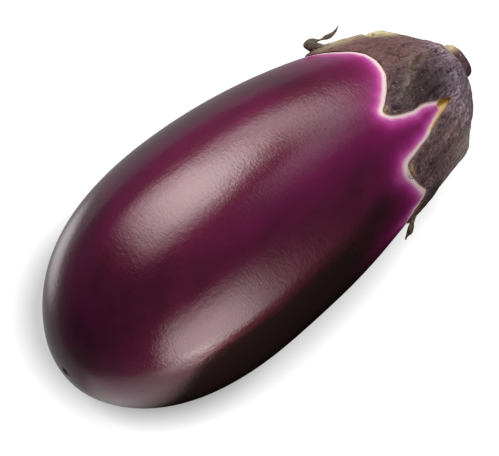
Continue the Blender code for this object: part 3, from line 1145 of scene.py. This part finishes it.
def calyxHeight(reach, around, away, onSkin):
    shape = np.array(calyx["thickness"], float)
    body = np.interp(reach, shape[:, 0], shape[:, 1])
    rise = 1 - (1 - np.clip(away / calyx["thinning"], 0, 1)) ** 2
    lip = np.sqrt(1 - (1 - np.clip(away / calyx["rimWidth"], 0, 1)) ** 2)
    height = calyx["rimHeight"] * lip + (body - calyx["rimHeight"]) * rise
    # the folds and wrinkles run out from the stem, and die away at the edge
    calm = smoothStep(away, 0.2, 3.0) * smoothStep(reach, 8, 15)
    height += folds["wrinkles"] * noiseAt(wrapRound(reach, around, 4.2, 24), 1.0, 6) * calm
    height += folds["fineWrinkles"] * noiseAt(wrapRound(reach, around, 13, 15), 1.0, 7) * calm
    ridged = 0.5 - np.abs(noiseAt(wrapRound(reach, around, 7, 19), 1.0, 17)) * 1.6
    height += folds["ridges"] * ridged * calm * (1 - 0.6 * smoothStep(reach, 40, 62))
    height += folds["lumps"] * noiseAt(onSkin, folds["lumpSize"], 8) * calm
    height += folds["grit"] * noiseAt(onSkin, folds["gritSize"], 9) * smoothStep(away, 0.1, 1.0)
    radius = np.interp(reach, skin["reach"], skin["r"])
    ribCalm = calm * (1 - smoothStep(reach, 45, 66))
    for rib in folds["ribs"]:
        offset = np.radians(turnBetween(around, rib)) * radius
        height += folds["ribHeight"] * bump(offset, 0, folds["ribWidth"]) * ribCalm
    distance, side = seamDistance(reach, around)
    seamCalm = smoothStep(reach, 17, 24) * (1 - smoothStep(reach, 54, 60)) * calm
    height += folds["seamHeight"] * bump(distance, 0, folds["seamWidth"]) * seamCalm
    # the sepal on one side lies over the other
    step = np.where(side < 0, folds["seamStep"], -0.4 * folds["seamStep"])
    height += step * (1 - smoothStep(distance, 1, 9)) * seamCalm
    for centre, middle, wide, long, size in folds["swells"]:
        height += size * bump(turnBetween(around, centre), 0, wide) * bump(reach, middle, long)
    return height, distance


sepalPatches = {
    # soft patches of colour: strength, degrees round, how wide, reach, how long
    "olive": [
        (1.4, -49, 14, 30.5, 6),      # the hump
        (0.8, -14, 24, 10.5, 3.5),    # the collar at the stem
        (0.25, 92, 26, 34, 12),
        (0.6, -52, 9, 47, 9),
    ],
    "warmth": [(0.5, 72, 22, 40, 22)],
    # the first bloom patch is a painted highlight on the calyx's right side, the second lilac bloom
    "bloomAndHighlight": [(1.7, 86, 20, 22, 15), (1.0, -6, 18, 18, 8)],
    # the same towards the ends of sepals, the first list a painted shade: strength, degrees round, how wide,
    # from and to in reach
    "endShade": [(0.8, -57, 9, 47, 52), (0.45, 70, 16, 42, 52)],
    "dryEnds": [(0.85, 21, 3.4, 60.5, 63), (0.8, 57, 7, 63.5, 66.5)],
}


def patchTone(reach, around, name):
    tone = np.zeros(len(reach))
    for strength, centre, wide, middle, long in sepalPatches[name]:
        tone += strength * bump(turnBetween(around, centre), 0, wide) * bump(reach, middle, long)
    return tone


def endTone(reach, around, name):
    tone = np.zeros(len(reach))
    for strength, centre, wide, start, full in sepalPatches[name]:
        tone += strength * bump(turnBetween(around, centre), 0, wide) * smoothStep(reach, start, full)
    return tone


def calyxTones(reach, around, fromSeam):
    # how much of each colour a point of the sepals takes, from 0 to 1
    olive = patchTone(reach, around, "olive")
    olive += 0.12 * bump(fromSeam, 0, 2.4) * smoothStep(reach, 24, 30)
    fromLeft = turnBetween(around, -30)
    warmth = patchTone(reach, around, "warmth")
    warmth += smoothStep(fromLeft, -48, -30) * (1 - smoothStep(fromLeft, 22, 44))
    # painted shade: right of the seam lies a hollow painted dark, and another in the far bay
    hollowShade = endTone(reach, around, "endShade")
    hollowShade += 1.2 * bump(turnBetween(around, 20), 0, 13) * bump(reach, 40, 15) * (1 - bump(fromSeam, 0, 1.6))
    hollowShade += smoothStep(around, 84, 90) * (1 - smoothStep(around, 104, 112)) * smoothStep(reach, 47, 54)
    # lilac bloom by the stem, plus the painted highlight on the right side
    bloomAndHighlight = patchTone(reach, around, "bloomAndHighlight") + 0.35 * bump(reach, 12, 8)
    bloomAndHighlight += 1.4 * bump(turnBetween(around, 44), 0, 26) * (1 - smoothStep(reach, 20, 42))
    dry = endTone(reach, around, "dryEnds")
    tones = {"olive": olive, "warmth": warmth, "hollowShade": hollowShade, "bloomAndHighlight": bloomAndHighlight, "dry": dry}
    return {key: np.clip(tone, 0, 1) for key, tone in tones.items()}


def makeCalyx():
    points, triangles = calyxTriangles(calyxCloud())
    reach = np.linalg.norm(points, axis=1)
    around = np.degrees(np.arctan2(points[:, 1], points[:, 0]))
    onSkin = skinAt(reach, around)
    away = distanceTo(edgeTree, onSkin)
    border = away < 0.02
    away = np.where(border, 0.0, away)
    height, fromSeam = calyxHeight(reach, around, away, onSkin)
    # the sheet's underside lies on the skin and turns up at the rim
    under = calyx["gap"] + calyx["turnUp"] * (1 - np.clip(away / calyx["turnUpWidth"], 0, 1)) ** 2
    height = np.maximum(height, under + calyx["least"])
    inner = np.abs(reach - calyx["innerReach"]) < 0.05
    # top and underside share the points of both borders
    shared = border | inner
    middle = np.where(border, under + 2 * calyx["least"], (height + under) / 2)
    top = skinAt(reach, around, np.where(shared, middle, height))
    bottom = skinAt(reach, around, under)
    lower = np.full(len(points), -1)
    lower[~shared] = len(points) + np.arange((~shared).sum())
    lower[shared] = np.where(shared)[0]
    allPoints = np.vstack([top, bottom[~shared]])
    # one triangle tells whether they face outwards once wrapped
    first = triangles[0][0]
    outward = skinAt(reach[first], around[first], 3.0) - top[first]
    a, b, c = top[triangles[0]]
    if np.cross(b - a, c - a) @ outward < 0:
        triangles = triangles[:, ::-1]
    faces = np.vstack([triangles, lower[triangles][:, ::-1]])
    attributes = {"edgeDistance": away, "grain": wrapRound(reach, around, 9, 7)}
    attributes.update(calyxTones(reach, around, fromSeam))
    duplicated = {key: np.concatenate([values, values[~shared]]) for key, values in attributes.items()}
    return makePiece("calyxCap", allPoints, faces, sepalMaterial, "calyx", duplicated)


calyxPiece = makeCalyx()
print("calyx:", len(calyxPiece.data.polygons), "faces")

# Dried tips and a thread on the calyx, as flat blades.
# Stops: around, reach, lift, half width, half thickness (mm), twist (degrees).
blades = {
    "curledTip": [
        (-54, 50.5, 0.8, 2.2, 0.8, 0), (-56.5, 53.2, 1.5, 2.6, 1.5, 5),
        (-59, 55.6, 2.7, 2.9, 2.2, 12), (-60.5, 56.2, 4.1, 2.6, 2.0, 25),
        (-61, 54.4, 5.0, 1.7, 1.1, 40), (-61, 52.4, 4.9, 0.6, 0.4, 50),
        (-61, 50.6, 4.9, 0.45, 0.32, 60), (-61, 48.8, 5.2, 1.0, 0.6, 70),
        (-61, 46.7, 5.6, 0.85, 0.5, 80), (-61, 44.6, 6.8, 0.5, 0.3, 90),
        (-61, 42.9, 8.6, 0.12, 0.1, 95),
    ],
    "hangingTip": [
        (97, 60, 0.5, 2.2, 0.5, 0), (97.5, 64, 0.6, 1.8, 0.5, 10), (98, 67.5, 0.8, 1.3, 0.5, 20),
        (99, 70, 1.6, 1.1, 0.5, 50), (99.5, 72.2, 2.6, 1.2, 0.55, 90),
        (100, 74.2, 3.1, 1.05, 0.5, 140), (100, 75.7, 3.2, 0.6, 0.4, 170),
        (100.5, 76.6, 3.6, 0.35, 0.25, 180),
    ],
    "tornThread": [
        (64, 65.8, 0.5, 0.22, 0.18, 0), (62.6, 67.4, 0.9, 0.2, 0.16, 0),
        (61.4, 68.8, 1.1, 0.18, 0.14, 0), (59.6, 69.6, 1.1, 0.16, 0.12, 0),
        (58.4, 69.4, 1.2, 0.1, 0.08, 0),
    ],
}


bladeShape = {
    "sides": 16,
    "samples": 64,
    "fold": 0.16,           # unevenness of the section, as a share of its size
    "least": 0.05,          # least half width and half thickness
}


def makeBlade(name):
    sides, samples = bladeShape["sides"], bladeShape["samples"]
    stops = np.array(blades[name], float)
    route = skinAt(stops[:, 1], stops[:, 0], stops[:, 2])
    lifted = skinAt(stops[:, 1], stops[:, 0], stops[:, 2] + 1.0) - route
    # the form is scaled down so that only the route sets the curve's pace
    small = 0.01
    track = splineThrough(np.hstack([route, lifted * small, stops[:, 3:] * small]), samples)
    centre, outward, form = track[:, :3], track[:, 3:6] / small, track[:, 6:] / small
    along = np.gradient(centre, axis=0)
    along /= np.linalg.norm(along, axis=1)[:, None]
    points = [centre[0]]
    across = np.array([0.0, 1.0, 0.0])
    for i in range(samples):
        sideways = np.cross(outward[i], along[i])
        if np.linalg.norm(sideways) >= 0.2:
            across = sideways / np.linalg.norm(sideways)
        upward = np.cross(along[i], across)
        twist = math.radians(form[i, 2])
        wideAxis = across * math.cos(twist) + upward * math.sin(twist)
        thinAxis = upward * math.cos(twist) - across * math.sin(twist)
        half, thick = np.maximum(form[i, :2], bladeShape["least"])
        for k in range(sides):
            turn = 2 * math.pi * k / sides
            wrap = Vector((math.cos(turn) * 1.5, math.sin(turn) * 1.5, i * 0.22))
            offset = wideAxis * math.cos(turn) * half + thinAxis * math.sin(turn) * thick
            points.append(centre[i] + offset * (1 + bladeShape["fold"] * noise.noise(wrap)))
    points = np.array(points + [centre[-1]])
    spare = np.concatenate([[0.0], np.repeat(np.arange(samples) / samples, sides), [1.0]])
    faces = [[1 + corner for corner in face] for face in tubeFaces(samples, sides)]
    end = len(points) - 1
    for k in range(sides):
        m = (k + 1) % sides
        faces.append((0, 1 + m, 1 + k))
        faces.append((end, end - sides + k, end - sides + m))
    attributes = {
        "edgeDistance": np.full(len(points), 5.0),
        "grain": points / 1.4,
        "olive": np.full(len(points), 0.15),
        "warmth": np.full(len(points), 0.4),
        # the tips are darkened all over with the same painted shade
        "hollowShade": np.full(len(points), 0.9),
        "bloomAndHighlight": np.full(len(points), 0.1),
        "dry": np.clip(0.06 + 0.3 * spare, 0, 0.35),   # paler towards the end
    }
    return makePiece(name, points, faces, sepalMaterial, "calyx", attributes)


for name in blades:
    makeBlade(name)
print("calyx tips:", ", ".join(blades))

stem = {
    # height above the fruit's end, and radius
    "profile": [
        (-1.0, 8.2), (2.0, 7.9), (5.5, 7.3), (8.0, 7.2), (9.8, 7.6), (10.8, 7.5), (11.6, 6.9), (12.0, 5.9),
    ],
    "usualRadius": 7.5,
    "columns": 144,
    "sideRows": 60,
    "endRows": 26,
    "ribs": 5,
    "ribHeight": 0.3,
    "lumps": 0.3,
    "grit": 0.1,
    "endGrit": 0.16,        # unevenness of the cut end
    # a corky swelling under the cut end
    "hump": {"around": -30, "height": 9.6, "size": 1.2, "wide": 26, "long": 2.2},
    "crown": 0.12,          # the cut end starts this far above the side's last ring
    "dish": 0.5,            # depth of the hollow in the cut end
    "lean": 1.7,            # sideways shift of its end, towards leanTo
    "leanTo": -60,
}


def makeStem():
    columns = stem["columns"]
    side = splineThrough(stem["profile"], stem["sideRows"])
    rim = side[-1]
    inward = np.linspace(1, 0, stem["endRows"] + 1)[1:-1]
    endHeight = rim[0] + stem["crown"] - stem["dish"] * (1 - inward ** 2) ** 1.5
    end = np.stack([endHeight, rim[1] * inward], -1)
    rows = np.vstack([side, end])
    arounds = np.arange(columns) * 360.0 / columns
    row, around = (grid.ravel() for grid in np.meshgrid(np.arange(len(rows)), arounds, indexing="ij"))
    height, radius = rows[row, 0].copy(), rows[row, 1].copy()
    turn = np.radians(around)
    onEnd = row >= len(side)
    flank = np.where(onEnd, 0.0, 1.0) * smoothStep(rim[0] + 0.6 - height, 0.0, 2.0)
    spot = stem["hump"]
    hump = bump(turnBetween(around, spot["around"]), 0, spot["wide"])
    hump *= bump(height, spot["height"], spot["long"])
    place = np.stack([radius * np.cos(turn), radius * np.sin(turn), height], -1)
    radius += stem["ribHeight"] * np.cos(turn * stem["ribs"]) * flank
    radius *= 1 + spot["size"] * hump / stem["usualRadius"]
    rough = stem["lumps"] * noiseAt(place, 3.6, 12) + stem["grit"] * noiseAt(place, 1.0, 13)
    radius *= 1 + rough / stem["usualRadius"]
    uneven = stem["endGrit"] * noiseAt(place, 1.5, 14) * smoothStep(height, 9, 11)
    height += np.where(onEnd, 1, 0.4) * uneven
    base = skinAt(0.0, 0.0)
    axis = skinAt(0.0, 0.0, 1.0) - base
    axis /= np.linalg.norm(axis)
    sideways = np.array([0.0, -1.0, 0.0])
    upward = np.cross(axis, sideways)
    upward *= math.copysign(1, upward[2])
    # the stem stands on the fruit's end and leans a little sideways
    leanTo = math.radians(stem["leanTo"])
    shift = stem["lean"] * (math.cos(leanTo) * upward + math.sin(leanTo) * sideways)
    outward = np.cos(turn)[:, None] * upward + np.sin(turn)[:, None] * sideways
    points = base + height[:, None] * axis + radius[:, None] * outward
    points += smoothStep(height, 1, 10)[:, None] * shift
    centre = base + (rim[0] + stem["crown"] - stem["dish"]) * axis + shift
    foot = base + stem["profile"][0][0] * axis
    points = np.vstack([points, centre, foot])
    faces = tubeFaces(len(rows), columns)
    last = (len(rows) - 1) * columns
    top, bottom = len(points) - 2, len(points) - 1
    for j in range(columns):
        k = (j + 1) % columns
        faces.append((last + j, last + k, top))
        faces.append((k, j, bottom))
    a, b, c = (points[i] for i in faces[0][:3])
    if np.cross(b - a, c - a) @ (a - base) < 0:
        faces = [face[::-1] for face in faces]
    share = np.where(onEnd, np.linalg.norm(place[:, :2], axis=1) / rim[1], 1.0)
    cork = np.clip(hump * 1.5 - 0.15, 0, 1) + np.where(onEnd, 0.9, 0.0)
    pith = np.where(onEnd, 1 - smoothStep(share, 0.45, 0.6), 0.0)
    # fibres run up the flank, and in rings on the cut end
    grain = wrapRound(height, around, 6, 5)
    grain[onEnd] = np.stack([place[onEnd, 0] * 0.2, place[onEnd, 1] * 0.2, share[onEnd] * 6], -1)
    attributes = {
        "cork": np.append(np.clip(cork, 0, 1), [1.0, 0.0]),
        "pith": np.append(pith, [1.0, 0.0]),
        "grain": np.vstack([grain, np.zeros((2, 3))]),
    }
    return makePiece("stemStub", points, faces, stalkMaterial, "stem", attributes)


makeStem()
print("stem: made")
